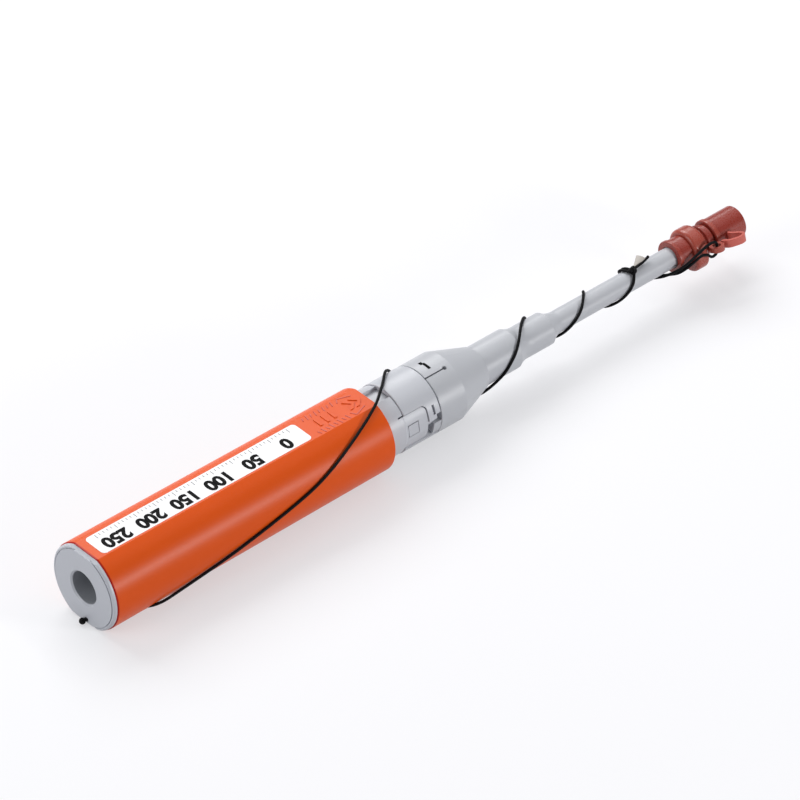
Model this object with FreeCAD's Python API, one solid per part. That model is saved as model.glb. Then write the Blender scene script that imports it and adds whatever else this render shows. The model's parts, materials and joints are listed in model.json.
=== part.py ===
"""Fibre connector cleaning pen with its guide cap, dust lid and lanyard.

The pen's axis lies along +X, rear end to cleaning tip, with +Z up. All stations are first counted from
the rear face along the axis; the finished solids are then placed so that the flat under the casing lies
on z = 0 and the pen's length is centred on x = 0. Lengths are in millimetres, angles in degrees.

Pressing the casing forward drives the nose assembly back into it. A rack on that assembly turns the
take-up reel, and a pin in a helical groove turns the cleaning shaft.
"""
import FreeCAD, Part
import math
import os

from FreeCAD import Vector

# ---- clearances -------------------------------------------------------------------------------------
fit_gap = 0.02
slide_gap = 0.1
running_gap = 0.05
side_gap = 0.3
seam = 0.15
cord_gap = 0.15

# ---- travel -----------------------------------------------------------------------------------------
push_travel = 6.0
stop_gap = 0.5

# ---- casing -----------------------------------------------------------------------------------------
casing_length = 77.95
casing_rear_radius = 10.23
casing_front_radius = 9.78
bore_radius = 8.45
rest_flat_height = 9.2
top_flat_rear = 9.55
top_flat_front = 9.05
rim_round = 0.35

# ---- label and raised marks -------------------------------------------------------------------------
label_inset = 2.3
label_length = 57.9
label_width = 6.4
label_thickness = 0.15
label_recess = 0.1
label_corner = 1.0
mark_height = 0.18
chevron_insets = (5.65, 3.85)
chevron_span = 3.0
chevron_stroke = 0.9
bar_insets = (13.85, 11.85, 9.85)
bar_size = (0.7, 2.6)

# ---- rear cap ---------------------------------------------------------------------------------------
disc_thickness = 0.9
disc_radius = 10.0
lip_width = 0.65
lip_back = 0.1
lip_bevel = 0.35
ring_groove_width = 0.2
ring_groove_depth = 0.3
notch_height = 8.75
notch_rise = 0.55
notch_width = 8.6
plug_length = 5.0
plug_wall = 1.2
plug_web = 1.5
socket_radius = 3.87
socket_depth = 7.5
socket_chamfer = 0.4
well_radius = 3.3
well_depth = 3.0
socket_wall = 1.0
rib_count = 4
rib_size = 0.7
stop_knot_radius = 0.75
cord_slot = (138.0, 184.0)

# ---- reel frame and reels ---------------------------------------------------------------------------
frame_length = 42.5
bulkhead = 1.5
plate_inner = 3.3
plate_thickness = 1.0
plate_height = 6.4
plate_edge = 0.8
plate_window_height = 1.4
take_up_inset = 11.5
reel_spacing = 17.0
reel_radius = 6.5
reel_flange = 0.8
hub_radius = 2.2
axle_radius = 1.0
axle_half_length = 6.5
supply_winding = 5.4
take_up_winding = 4.2
winding_crown = 0.25
ratchet_teeth = 24
ratchet_depth = 0.4
pawl_thickness = 0.5

# ---- rack and drive gear ----------------------------------------------------------------------------
module = 0.5
gear_teeth = 12
gear_width = 1.6
pressure_angle = math.radians(20.0)
tooth_share = 0.78
rack_reach = 8.0
rack_depth = 1.4
rack_teeth = 9

# ---- cleaning shaft and cam -------------------------------------------------------------------------
shaft_tail = 2.5
shaft_radius = 0.9
shaft_bore = 0.45
shaft_flange = 1.8
shaft_flange_width = 0.8
cam_inset = 2.5
cam_length = 13.0
cam_radius = 2.2
cam_lead = 12.0
groove_width = 1.3
groove_depth = 0.8
pin_radius = 0.36
pin_inset = 5.0
tip_length = 6.0
tip_radius = 1.15
tip_bevel = 0.35
tip_slot = 0.4
tip_recess = 1.5

# ---- sleeve, collar and latch -----------------------------------------------------------------------
sleeve_length = 19.8
sleeve_wall = 1.45
sleeve_show = 4.95
guide_setback = 1.0
sleeve_front_radius = 8.1
web_width = 3.0
collar_length = 9.6
collar_radius = 8.25
collar_seat = 7.25
collar_round = 0.18
core_bore = 5.9
key_width = 4.6
key_floor = 6.9
key_undercut = 1.6
panel_length = 5.95
panel_span = (54.6, 117.4)
panel_radius = 7.88
panel_corner = 1.3
leg_end = 84.0
leg_foot = 76.5
leg_foot_width = 1.35
pocket_span = (95.0, 114.0)
pocket_width = 1.3
collar_slot = (60.0, 76.0)
collar_slot_width = 0.6
collar_slot_inset = 1.7
hook_span = (52.0, 54.4)
hook_length = 1.5
latch_angle = 83.0
latch_inset = 0.6
latch_size = 2.7
latch_gap = 0.15
latch_sink = 0.06
latch_base = 5.4
latch_base_thickness = 0.6
latch_base_size = 3.9

# ---- nose -------------------------------------------------------------------------------------------
spigot_length = 5.2
nose_core = 4.6
band_length = 7.3
cone_length = 9.3
cone_front_radius = 5.07
first_barrel_length = 10.0
first_barrel_radius = 4.72
first_scallop = 4.0
second_barrel_length = 6.5
second_barrel_radius = 3.84
second_scallop = 4.5
tube_length = 38.5
tube_rear_radius = 2.5
nozzle_radius = 2.4
nozzle_bore = 1.35
scallop_reach = 0.35
scallop_depth = 0.7
slit_angle = 20.0
slit_width = 0.35
slit_length = 5.5
slit_depth = 1.2
slit_hole = 0.5
tab_span = (92.5, 116.5)
tab_length = 2.1
tab_sink = 0.15
tab_round = 0.3

# ---- return spring ----------------------------------------------------------------------------------
spring_radius = 4.6
spring_wire = 0.5
spring_turns = 5

# ---- guide cap --------------------------------------------------------------------------------------
cap_overlap = 5.4
cap_sleeve = 3.9
cap_radius = 3.6
cap_lip_radius = 3.85
cap_lip_width = 0.9
flange_width = 3.8
flange_radius = 4.7
flange_round = 0.9
neck_length = 3.2
neck_radius = 3.2
bead_radius = 3.62
bead_width = 1.1
bead_inset = 0.8
ear_angle = 127.0
ear_reach = 2.1
ear_radius = 3.4
cap_spigot_radius = 2.6
lug_angle = 75.0
lug_inset = 1.2
lug_reach = 5.9
lug_radius = 1.7
lug_hole = 0.95
lug_thickness = 1.2

# ---- dust lid and strap -----------------------------------------------------------------------------
lid_length = 9.0
lid_depth = 5.0
lid_radius = 3.72
lid_lip_radius = 3.98
lid_lip_width = 1.1
lid_round = 0.35
strap_width = 1.8
strap_thickness = 0.6
strap_root = 3.4
strap_crest = 4.2

# ---- lanyard ----------------------------------------------------------------------------------------
cord_radius = 0.38
knot_radius = 0.95
knot_at = (156.0, 14.0, 3.4)
tail_length = 4.2
tail_bead = 0.5

# ---- stations along the axis, each from the piece before it -----------------------------------------
casing_start = disc_thickness
casing_end = casing_start + casing_length
collar_start = casing_end + sleeve_show
band_start = collar_start + collar_length
cone_start = band_start + band_length
cone_end = cone_start + cone_length
first_step = cone_end + first_barrel_length
second_barrel = first_step + first_scallop
second_step = second_barrel + second_barrel_length
thin_tube = second_step + second_scallop
nozzle_end = thin_tube + tube_length
cap_start = nozzle_end - cap_overlap
flange_start = cap_start + cap_sleeve
flange_end = flange_start + flange_width
lid_start = flange_end + neck_length
pen_length = lid_start + lid_length
cap_spigot_end = lid_start + lid_depth
lug_station = flange_end + lug_inset

sleeve_start = collar_start - sleeve_length
spigot_start = band_start - spigot_length
panel_end = collar_start + panel_length
latch_start = collar_start + latch_inset
pin_station = sleeve_start + pin_inset
frame_end = sleeve_start - push_travel - stop_gap
frame_start = frame_end - frame_length
take_up_station = frame_end - take_up_inset
supply_station = take_up_station - reel_spacing
rack_start = take_up_station - rack_reach
shaft_start = frame_end - shaft_tail
cam_start = frame_end + cam_inset
cam_end = cam_start + cam_length

origin = Vector(0, 0, 0)
along = Vector(1, 0, 0)


# ---- helpers ----------------------------------------------------------------------------------------
def outward(angle):
    """Unit vector from the axis at an angle from the top, turning towards the pen's right side."""
    turn = math.radians(angle)
    return Vector(0, -math.sin(turn), math.cos(turn))


def tangent(angle):
    """Unit vector square to the outward one, towards larger angles."""
    turn = math.radians(angle)
    return Vector(0, -math.cos(turn), -math.sin(turn))


def around(station, angle, radius):
    """Point at a station, an angle from the top and a radius."""
    return Vector(station, 0, 0) + outward(angle) * radius


def rod(start, end, radius):
    """Solid cylinder on the pen's axis."""
    return Part.makeCylinder(radius, end - start, Vector(start, 0, 0), along)


def turned(outline):
    """Solid of revolution about the axis from a closed outline of (station, radius) corners."""
    corners = [Vector(station, 0, radius) for station, radius in outline]
    face = Part.Face(Part.makePolygon(corners + corners[:1]))
    return face.revolve(origin, along, 360)


def sector(start, end, inner, outer, first, last):
    """Ring sector between two angles from the top."""
    corners = [Vector(start, 0, inner), Vector(end, 0, inner), Vector(end, 0, outer), Vector(start, 0, outer)]
    face = Part.Face(Part.makePolygon(corners + corners[:1]))
    face.rotate(origin, along, first)
    return face.revolve(origin, along, last - first)


def box(x_span, y_span, z_span):
    """Box between three pairs of coordinates."""
    corner = Vector(x_span[0], y_span[0], z_span[0])
    return Part.makeBox(x_span[1] - x_span[0], y_span[1] - y_span[0], z_span[1] - z_span[0], corner)


def radial_block(start, end, inner, outer, angle, width):
    """Straight block that stands outwards at an angle."""
    block = box((start, end), (-width / 2, width / 2), (inner, outer))
    block.rotate(origin, along, angle)
    return block


def rims(solid, places):
    """Circular edges about the axis at the given (station, radius) places."""
    found = []
    for edge in solid.Edges:
        curve = edge.Curve
        if not isinstance(curve, Part.Circle) or abs(abs(curve.Axis.x) - 1) > 0.001:
            continue
        for station, radius in places:
            if abs(curve.Center.x - station) < 0.01 and abs(curve.Radius - radius) < 0.01:
                found.append(edge)
    return found


def radial_edges(solid, station, angle):
    """Straight edges that stand outwards at one station and one angle from the top."""
    found = []
    for edge in solid.Edges:
        middle = edge.CenterOfMass
        across_radius = middle - Vector(middle.x, 0, 0)
        if (isinstance(edge.Curve, Part.Line) and edge.BoundBox.XLength < 0.001
                and abs(middle.x - station) < 0.01 and across_radius.getAngle(outward(angle)) < 0.02):
            found.append(edge)
    return found


def tube_along(points, radius):
    """Round tube along straight runs joined by tangent arcs as large as the runs allow."""
    edges = []
    bends = []
    last = points[0]
    for before, corner, after in zip(points, points[1:], points[2:]):
        back = before - corner
        ahead = after - corner
        half_turn = (math.pi - back.getAngle(ahead)) / 2
        reach = 0.45 * min(back.Length, ahead.Length)
        bends.append(reach / math.tan(half_turn))
        back.normalize()
        ahead.normalize()
        start = corner + back * reach
        end = corner + ahead * reach
        middle_way = (back + ahead).normalize()
        sagitta = bends[-1] * (1 / math.cos(half_turn) - 1)
        edges.append(Part.LineSegment(last, start).toShape())
        edges.append(Part.Arc(start, corner + middle_way * sagitta, end).toShape())
        last = end
    edges.append(Part.LineSegment(last, points[-1]).toShape())
    path = Part.Wire(edges)
    direction = points[1] - points[0]
    section = Part.Wire(Part.makeCircle(radius, points[0], direction))
    tube = path.makePipeShell([section], True, False)
    expected = path.Length * math.pi * radius ** 2
    print("cord length %.1f, volume ratio %.4f, tightest bend %.2f, lowest point %.2f"
          % (path.Length, tube.Volume / expected, min(bends), tube.BoundBox.ZMin))
    return tube


def ribbon(points, thickness, width):
    """Flat strip that follows a smooth line of (station, radius) points."""
    line = Part.BSplineCurve()
    line.interpolate([Vector(station, 0, radius) for station, radius in points])
    sides = ([], [])
    steps = 4 * len(points)
    for step in range(steps + 1):
        parameter = line.FirstParameter + (line.LastParameter - line.FirstParameter) * step / steps
        ahead = line.tangent(parameter)[0]
        normal = Vector(-ahead.z, 0, ahead.x) * (thickness / 2)
        sides[0].append(line.value(parameter) + normal)
        sides[1].append(line.value(parameter) - normal)
    curves = []
    for side in sides:
        curve = Part.BSplineCurve()
        curve.interpolate(side)
        curves.append(curve.toShape())
    ends = [Part.LineSegment(sides[0][place], sides[1][place]).toShape() for place in (0, -1)]
    face = Part.Face(Part.Wire([curves[0], ends[1], curves[1], ends[0]]))
    face.translate(Vector(0, -width / 2, 0))
    return face.extrude(Vector(0, width, 0))


# ---- casing and rear cap ----------------------------------------------------------------------------
def top_height(station):
    """Height of the casing's top flat above the axis."""
    share = station / casing_end
    return top_flat_rear + (top_flat_front - top_flat_rear) * share


def top_slab(start, end, low, high, width):
    """Slab that follows the top flat, from low to high above it."""
    side = -width / 2
    corners = [Vector(start, side, top_height(start) + low), Vector(end, side, top_height(end) + low),
               Vector(end, side, top_height(end) + high), Vector(start, side, top_height(start) + high)]
    face = Part.Face(Part.makePolygon(corners + corners[:1]))
    return face.extrude(Vector(0, width, 0))


def label_shape(low, high, margin=0.0):
    """Rounded label outline as a slab on the top flat."""
    start = casing_start + label_inset
    slab = top_slab(start - margin, start + label_length + margin, low, high, label_width + 2 * margin)
    corners = [edge for edge in slab.Edges
               if abs(edge.Vertexes[0].Point.y - edge.Vertexes[1].Point.y) < 0.01
               and abs(edge.Vertexes[0].Point.x - edge.Vertexes[1].Point.x) < 0.1]
    return slab.makeFillet(label_corner, corners)


def chevron(station):
    """Raised arrow head that points to the front."""
    half = chevron_span / 2
    corners = [(0, -half), (half, 0), (0, half), (chevron_stroke, half),
               (half + chevron_stroke, 0), (chevron_stroke, -half)]
    height = top_height(station)
    points = [Vector(station + x, y, height - mark_height) for x, y in corners]
    face = Part.Face(Part.makePolygon(points + points[:1]))
    return face.extrude(Vector(0, 0, 2 * mark_height))


def cord_hole(gap):
    """Slanted hole round the cord's first stretch, from the stop knot out through the casing's side."""
    return tube_along(cord_route[:inside_points], cord_radius + gap)


def make_casing():
    rear_end = Vector(casing_start, 0, 0)
    body = Part.makeCone(casing_rear_radius, casing_front_radius, casing_length, rear_end, along)
    body = body.makeFillet(rim_round, rims(body, [(casing_end, casing_front_radius),
                                                  (casing_start, casing_rear_radius)]))
    below = box((casing_start, casing_end), (-casing_rear_radius, casing_rear_radius),
                (-2 * casing_rear_radius, -rest_flat_height))
    above = top_slab(casing_start - 1, casing_end + 1, 0, casing_rear_radius, 4 * casing_rear_radius)
    body = body.cut([below, above, rod(casing_start, casing_end, bore_radius)])
    body = body.cut([label_shape(-label_recess, 1.0, fit_gap), cord_hole(cord_gap)])
    marks = [chevron(casing_end - inset) for inset in chevron_insets]
    for inset in bar_insets:
        start = casing_end - inset
        marks.append(top_slab(start, start + bar_size[0], -mark_height, mark_height, bar_size[1]))
    return body.fuse(marks).removeSplitter()


def make_label():
    return label_shape(-label_recess, label_thickness - label_recess)


def make_rear_cap():
    """Plug with a lipped face, two chord notches, a stepped socket and a hole and slot for the cord."""
    plug_end = casing_start + plug_length
    plug_radius = bore_radius - fit_gap
    groove_inner = disc_radius - lip_width - ring_groove_width
    web_end = casing_start + plug_web
    tube_end = socket_depth + well_depth + socket_wall
    body = turned([(0, 0), (0, groove_inner), (ring_groove_depth, groove_inner),
                   (ring_groove_depth, groove_inner + ring_groove_width),
                   (lip_back, groove_inner + ring_groove_width), (lip_back, disc_radius - lip_bevel),
                   (lip_back + lip_bevel, disc_radius), (casing_start, disc_radius),
                   (casing_start, plug_radius),
                   (plug_end, plug_radius), (plug_end, plug_radius - plug_wall),
                   (web_end, plug_radius - plug_wall), (web_end, socket_radius + socket_wall),
                   (tube_end, socket_radius + socket_wall), (tube_end, 0)])
    mouth = Part.makeCone(socket_radius + socket_chamfer, socket_radius, socket_chamfer, origin, along)
    well = rod(socket_depth, socket_depth + well_depth, well_radius)
    socket = rod(0, socket_depth, socket_radius).fuse([mouth, well])
    slot = sector(casing_start, plug_end + 1, plug_radius - plug_wall - fit_gap, plug_radius + 1, *cord_slot)
    body = body.cut([socket, notch(1), notch(-1), cord_hole(cord_gap), slot])
    ribs = [radial_block(socket_depth, socket_depth + well_depth, well_radius - rib_size,
                         well_radius + rib_size / 2, 360 * (number + 0.5) / rib_count, rib_size)
            for number in range(rib_count)]
    return body.fuse(ribs).removeSplitter()


def notch(side):
    """Ramped chord notch in the rear cap's rim, above or below."""
    front_height = notch_height + notch_rise * (side + 1) / 2
    corners = [(-1, notch_height), (0, notch_height), (casing_start, front_height),
               (casing_start, 2 * disc_radius), (-1, 2 * disc_radius)]
    points = [Vector(x, -notch_width / 2, z * side) for x, z in corners]
    return Part.Face(Part.makePolygon(points + points[:1])).extrude(Vector(0, notch_width, 0))


def make_stop_knot():
    """Knot round the cord's end behind the rear cap that keeps it from slipping through."""
    return Part.makeSphere(stop_knot_radius, around(*stop_knot_at)).cut(cord_hole(fit_gap))


# ---- reel frame, reels and gear ---------------------------------------------------------------------
def across(station, low, high, radius):
    """Solid cylinder across the pen, along Y."""
    return Part.makeCylinder(radius, high - low, Vector(station, low, 0), Vector(0, 1, 0))


pitch_radius = module * gear_teeth / 2
gear_inner = plate_inner + plate_thickness + side_gap
gear_outer = gear_inner + gear_width
rack_low = pitch_radius + 1.25 * module + rack_depth


def make_reel_frame():
    disc = bore_radius - fit_gap
    solids = [rod(frame_start, frame_start + bulkhead, disc), rod(frame_end - bulkhead, frame_end, disc)]
    for side in (-1, 1):
        near, far = sorted((side * plate_inner, side * (plate_inner + plate_thickness)))
        plate = box((frame_start, frame_end), (near, far), (-plate_height, plate_height))
        window = box((supply_station - reel_radius, take_up_station + hub_radius), (near, far),
                     (plate_height - plate_edge - plate_window_height, plate_height - plate_edge))
        solids.append(plate.cut(window))
    frame = solids[0].fuse(solids[1:])
    cuts = [across(station, -axle_half_length, axle_half_length, axle_radius + fit_gap)
            for station in (supply_station, take_up_station)]
    cuts.append(rod(frame_end - 2 * bulkhead, frame_end + 1, shaft_radius + running_gap))
    cuts.append(rod(frame_start - 1, frame_start + 2 * bulkhead, hub_radius))
    cuts.append(box((frame_end - bulkhead - 1, frame_end + 1),
                    (-gear_outer - side_gap, -gear_inner + side_gap),
                    (-rack_low - side_gap, -pitch_radius + module + side_gap)))
    return frame.cut(cuts).removeSplitter()


def make_reel_axles():
    return Part.makeCompound([across(station, -axle_half_length, axle_half_length - 1, axle_radius)
                              for station in (supply_station, take_up_station)])


def make_reel(station, toothed):
    half = plate_inner - side_gap
    reel = across(station, -half, half, hub_radius)
    rim = across(station, -half, -half + reel_flange, reel_radius)
    other_rim = across(station, half - reel_flange, half, reel_radius)
    if toothed:
        rim = saw_wheel(station, -half)
    reel = reel.fuse([rim, other_rim])
    reel = reel.cut(across(station, -half, half, axle_radius + running_gap))
    return reel.removeSplitter()


def saw_wheel(station, side):
    """Ratchet wheel with saw teeth, as one flange of the take-up reel."""
    corners = []
    for tooth in range(ratchet_teeth):
        for share, radius in ((0.0, reel_radius), (0.12, reel_radius - ratchet_depth)):
            turn = 2 * math.pi * (tooth + share) / ratchet_teeth
            corners.append(Vector(station + radius * math.cos(turn), side, radius * math.sin(turn)))
    face = Part.Face(Part.makePolygon(corners + corners[:1]))
    return face.extrude(Vector(0, reel_flange, 0))


def make_winding(station, radius):
    """Wound cleaning thread, slightly crowned."""
    half = plate_inner - side_gap - reel_flange - fit_gap
    low = radius - winding_crown
    points = [Vector(station, -half, low), Vector(station, 0, radius), Vector(station, half, low)]
    top = Part.Arc(*points).toShape()
    foot = Part.makePolygon([points[2], Vector(station, half, hub_radius + fit_gap),
                             Vector(station, -half, hub_radius + fit_gap), points[0]])
    face = Part.Face(Part.Wire([top] + foot.Edges))
    return face.revolve(Vector(station, 0, 0), Vector(0, 1, 0), 360)


def make_ratchet_pawl():
    """Leaf that hangs from the frame's top edge and clicks over the ratchet wheel."""
    low = plate_inner - side_gap - reel_flange
    height = reel_radius + running_gap
    return box((take_up_station, frame_end - bulkhead - fit_gap), (-plate_inner + fit_gap, -low),
               (height, height + pawl_thickness))


def make_drive_gear():
    """Spur gear with involute flanks, turned so that a gap faces the rack."""
    base = pitch_radius * math.cos(pressure_angle)
    half_thickness = tooth_share * math.pi / (2 * gear_teeth)
    rolled = math.tan(pressure_angle) - pressure_angle

    def half_angle(radius):
        angle = math.acos(min(1.0, base / radius))
        return half_thickness + rolled - (math.tan(angle) - angle)

    root = pitch_radius - 1.25 * module
    tip = pitch_radius + module
    flank = [root, base, pitch_radius, (pitch_radius + tip) / 2, tip]
    corners = []
    for tooth in range(gear_teeth):
        middle = 2 * math.pi * (tooth + 0.5) / gear_teeth - math.pi / 2
        sides = [(radius, -half_angle(max(radius, base))) for radius in flank]
        sides += [(radius, half_angle(max(radius, base))) for radius in reversed(flank)]
        for radius, turn in sides:
            corners.append(Vector(take_up_station + radius * math.cos(middle + turn), -gear_outer,
                                  radius * math.sin(middle + turn)))
    face = Part.Face(Part.makePolygon(corners + corners[:1]))
    gear = face.extrude(Vector(0, gear_width, 0))
    return gear.cut(across(take_up_station, -gear_outer, -gear_inner, axle_radius + running_gap))


def make_rack_bar():
    """Toothed bar on the sleeve that turns the drive gear from below."""
    pitch = math.pi * module
    root_line = -pitch_radius - 1.25 * module
    tip_line = -pitch_radius + module
    corners = [(sleeve_start, -rack_low), (rack_start, -rack_low), (rack_start, root_line)]
    for number in range(rack_teeth):
        middle = take_up_station + (number - 2) * pitch
        pitch_half = tooth_share * pitch / 4
        foot = pitch_half + 1.25 * module * math.tan(pressure_angle)
        crest = pitch_half - module * math.tan(pressure_angle)
        corners += [(middle - foot, root_line), (middle - crest, tip_line),
                    (middle + crest, tip_line), (middle + foot, root_line)]
    corners.append((sleeve_start, root_line))
    points = [Vector(x, -gear_outer, z) for x, z in corners]
    return Part.Face(Part.makePolygon(points + points[:1])).extrude(Vector(0, gear_width, 0))


# ---- cleaning shaft ---------------------------------------------------------------------------------
def make_cleaning_shaft():
    tip_start = nozzle_end - tip_recess - tip_length
    body = rod(shaft_start, tip_start, shaft_radius)
    rear = frame_end - bulkhead - running_gap
    front = frame_end + running_gap
    collars = [rod(rear - shaft_flange_width, rear, shaft_flange),
               rod(front, front + shaft_flange_width, shaft_flange)]
    return body.fuse(collars).cut(rod(shaft_start, tip_start, shaft_bore)).removeSplitter()


def helical_groove():
    """Helical cut round the cam barrel that meets the pin at the top when the pen is at rest."""
    length = push_travel + 2 * groove_width
    start = pin_station - push_travel - groove_width
    phase = 180 - 360 * (pin_station - start) / cam_lead
    helix = Part.makeHelix(cam_lead, length, cam_radius)
    half = groove_width / 2
    floor = cam_radius - groove_depth
    corners = [Vector(floor, 0, -half), Vector(cam_radius + 1, 0, -half), Vector(cam_radius + 1, 0, half),
               Vector(floor, 0, half)]
    profile = Part.makePolygon(corners + corners[:1])
    groove = Part.Wire(helix.Edges).makePipeShell([profile], True, True)
    groove.rotate(origin, Vector(0, 1, 0), 90)
    groove.rotate(origin, along, phase)
    groove.translate(Vector(start, 0, 0))
    return groove


def make_cam_barrel():
    barrel = rod(cam_start, cam_end, cam_radius).cut(rod(cam_start, cam_end, shaft_radius + fit_gap))
    return barrel.cut(helical_groove())


def make_cleaning_tip():
    """Slotted tip that carries the cleaning thread over its front face."""
    start = nozzle_end - tip_recess - tip_length
    end = nozzle_end - tip_recess
    body = turned([(start, 0), (start, tip_radius), (end - 3 * tip_bevel, tip_radius),
                   (end, tip_radius - tip_bevel), (end, 0)])
    slot = box((end - tip_length / 2, end + 1), (-2 * tip_radius, 2 * tip_radius),
               (-tip_slot / 2, tip_slot / 2))
    return body.cut([slot, rod(start, end - tip_length / 3, shaft_bore)])


# ---- sleeve, collar, latch --------------------------------------------------------------------------
def make_inner_sleeve():
    outer = bore_radius - slide_gap
    guide_end = casing_end - guide_setback
    step = outer - sleeve_front_radius
    web_start = pin_station - web_width / 2
    web_end = pin_station + web_width / 2
    body = turned([(sleeve_start, outer - sleeve_wall), (sleeve_start, outer), (guide_end, outer),
                   (guide_end + step, sleeve_front_radius), (collar_start - collar_radius + panel_radius,
                                                             sleeve_front_radius),
                   (collar_start, panel_radius), (collar_start, collar_seat), (band_start, collar_seat),
                   (band_start, core_bore), (web_end, core_bore), (web_end, cam_radius + 2 * slide_gap),
                   (web_start, cam_radius + 2 * slide_gap), (web_start, outer - sleeve_wall)])
    panel = sector(collar_start - fit_gap, panel_end, collar_seat - slide_gap, panel_radius, *panel_span)
    corners = [edge for angle in panel_span for edge in radial_edges(panel, panel_end, angle)]
    body = body.fuse(panel.makeFillet(panel_corner, corners))
    key = box((sleeve_start - 1, collar_start + key_undercut), (-key_width / 2, key_width / 2),
              (key_floor, 2 * outer))
    window = radial_block(latch_start - latch_gap, latch_start + latch_size + latch_gap, latch_base,
                          2 * outer, latch_angle, latch_size + 2 * latch_gap)
    pin_hole = Part.makeCylinder(pin_radius + fit_gap, outer, Vector(pin_station, 0, 0), outward(0))
    hook = sector(collar_start - hook_length, collar_start + fit_gap, collar_seat, 2 * outer, *hook_span)
    foot_pocket = sector(band_start - leg_foot_width, band_start + 1, core_bore - 1, 2 * outer,
                         leg_foot + 1, tab_span[0])
    pocket_start = panel_end + side_gap / 2
    side_pocket = sector(pocket_start, pocket_start + pocket_width, core_bore - 1, 2 * outer, *pocket_span)
    return body.cut([key, window, pin_hole, hook, foot_pocket, side_pocket]).removeSplitter()


def make_cam_pin():
    low = cam_radius - groove_depth + slide_gap
    return Part.makeCylinder(pin_radius, key_floor - slide_gap - low, Vector(pin_station, 0, low), outward(0))


def make_collar_ring():
    """Ring with a rounded opening for the sleeve's panel, a leg above the nose's tab, and a slot."""
    end = band_start - seam
    inner = collar_seat + fit_gap
    ring = turned([(collar_start + fit_gap, inner), (collar_start + fit_gap, collar_radius),
                   (end, collar_radius), (end, inner)])
    ring = ring.makeFillet(collar_round, rims(ring, [(collar_start + fit_gap, collar_radius),
                                                     (end, collar_radius)]))
    outer = 2 * collar_radius
    opening_end = panel_end + seam
    first = panel_span[0] - 1
    opening = sector(collar_start - 1, opening_end, inner - 1, outer, first, panel_span[1] + 1)
    opening = opening.makeFillet(panel_corner, radial_edges(opening, opening_end, first))
    leg_cut = sector(opening_end - seam, band_start, inner - 1, outer, leg_end, panel_span[1] + 1)
    foot_cut = sector(band_start - leg_foot_width, band_start, inner - 1, outer, leg_foot, panel_span[1] + 1)
    slot_start = end - collar_slot_inset - collar_slot_width / 2
    slot = sector(slot_start, slot_start + collar_slot_width, inner - 1, outer, *collar_slot)
    return ring.cut([opening, leg_cut, foot_cut, slot]).removeSplitter()


def make_latch_button():
    top = panel_radius - latch_sink
    stem = radial_block(latch_start, latch_start + latch_size, latch_base, top, latch_angle, latch_size)
    foot_start = latch_start + (latch_size - latch_base_size) / 2
    foot = radial_block(foot_start, foot_start + latch_base_size, latch_base - latch_base_thickness,
                        latch_base, latch_angle, latch_base_size)
    return stem.fuse(foot).removeSplitter()


# ---- nose -------------------------------------------------------------------------------------------
def scalloped_step(start, radius, end, next_radius):
    """Arc that falls quickly from one radius and runs out on the next."""
    middle = Vector(start + scallop_reach * (end - start), 0, radius - scallop_depth * (radius - next_radius))
    return Part.Arc(Vector(start, 0, radius), middle, Vector(end, 0, next_radius)).toShape()


def make_nose():
    outline = [Vector(spigot_start, 0, nose_core), Vector(spigot_start, 0, core_bore - fit_gap),
               Vector(band_start, 0, core_bore - fit_gap), Vector(band_start, 0, collar_radius),
               Vector(cone_start, 0, collar_radius), Vector(cone_end, 0, cone_front_radius),
               Vector(cone_end, 0, first_barrel_radius), Vector(first_step, 0, first_barrel_radius)]
    edges = Part.makePolygon(outline).Edges
    edges.append(scalloped_step(first_step, first_barrel_radius, second_barrel, second_barrel_radius))
    edges.append(Part.LineSegment(Vector(second_barrel, 0, second_barrel_radius),
                                  Vector(second_step, 0, second_barrel_radius)).toShape())
    edges.append(scalloped_step(second_step, second_barrel_radius, thin_tube, tube_rear_radius))
    inner = [Vector(thin_tube, 0, tube_rear_radius), Vector(nozzle_end, 0, nozzle_radius),
             Vector(nozzle_end, 0, nozzle_bore), Vector(second_step, 0, nozzle_bore),
             Vector(cone_end, 0, nose_core - slit_depth), Vector(cone_start, 0, nose_core),
             Vector(spigot_start, 0, nose_core)]
    edges += Part.makePolygon(inner).Edges
    body = Part.Face(Part.Wire(edges)).revolve(origin, along, 360)
    body = body.makeFillet(collar_round, rims(body, [(band_start, collar_radius)]))
    slit_end = band_start + slit_length
    floor = collar_radius - slit_depth
    slit = radial_block(band_start - 1, slit_end, floor, collar_radius + 1, slit_angle, slit_width)
    hole = Part.makeCylinder(slit_hole, 2 * slit_depth, around(slit_end, slit_angle, floor),
                             outward(slit_angle))
    tab_start = band_start - tab_length
    tab = sector(tab_start, band_start + side_gap, collar_seat + fit_gap, collar_radius - tab_sink, *tab_span)
    corners = [edge for angle in tab_span for edge in radial_edges(tab, tab_start, angle)]
    tab = tab.makeFillet(tab_round, corners)
    return body.cut([slit, hole]).fuse(tab).removeSplitter()


def make_return_spring():
    seat = frame_end + fit_gap
    front = pin_station - web_width / 2 - fit_gap
    length = front - seat - spring_wire
    helix = Part.makeHelix(length / spring_turns, length, spring_radius)
    section = Part.Wire(Part.makeCircle(spring_wire / 2, Vector(spring_radius, 0, 0), Vector(0, 1, 0)))
    coil = Part.Wire(helix.Edges).makePipeShell([section], True, True)
    coil.rotate(origin, Vector(0, 1, 0), 90)
    coil.translate(Vector(seat + spring_wire / 2, 0, 0))
    return coil


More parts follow.
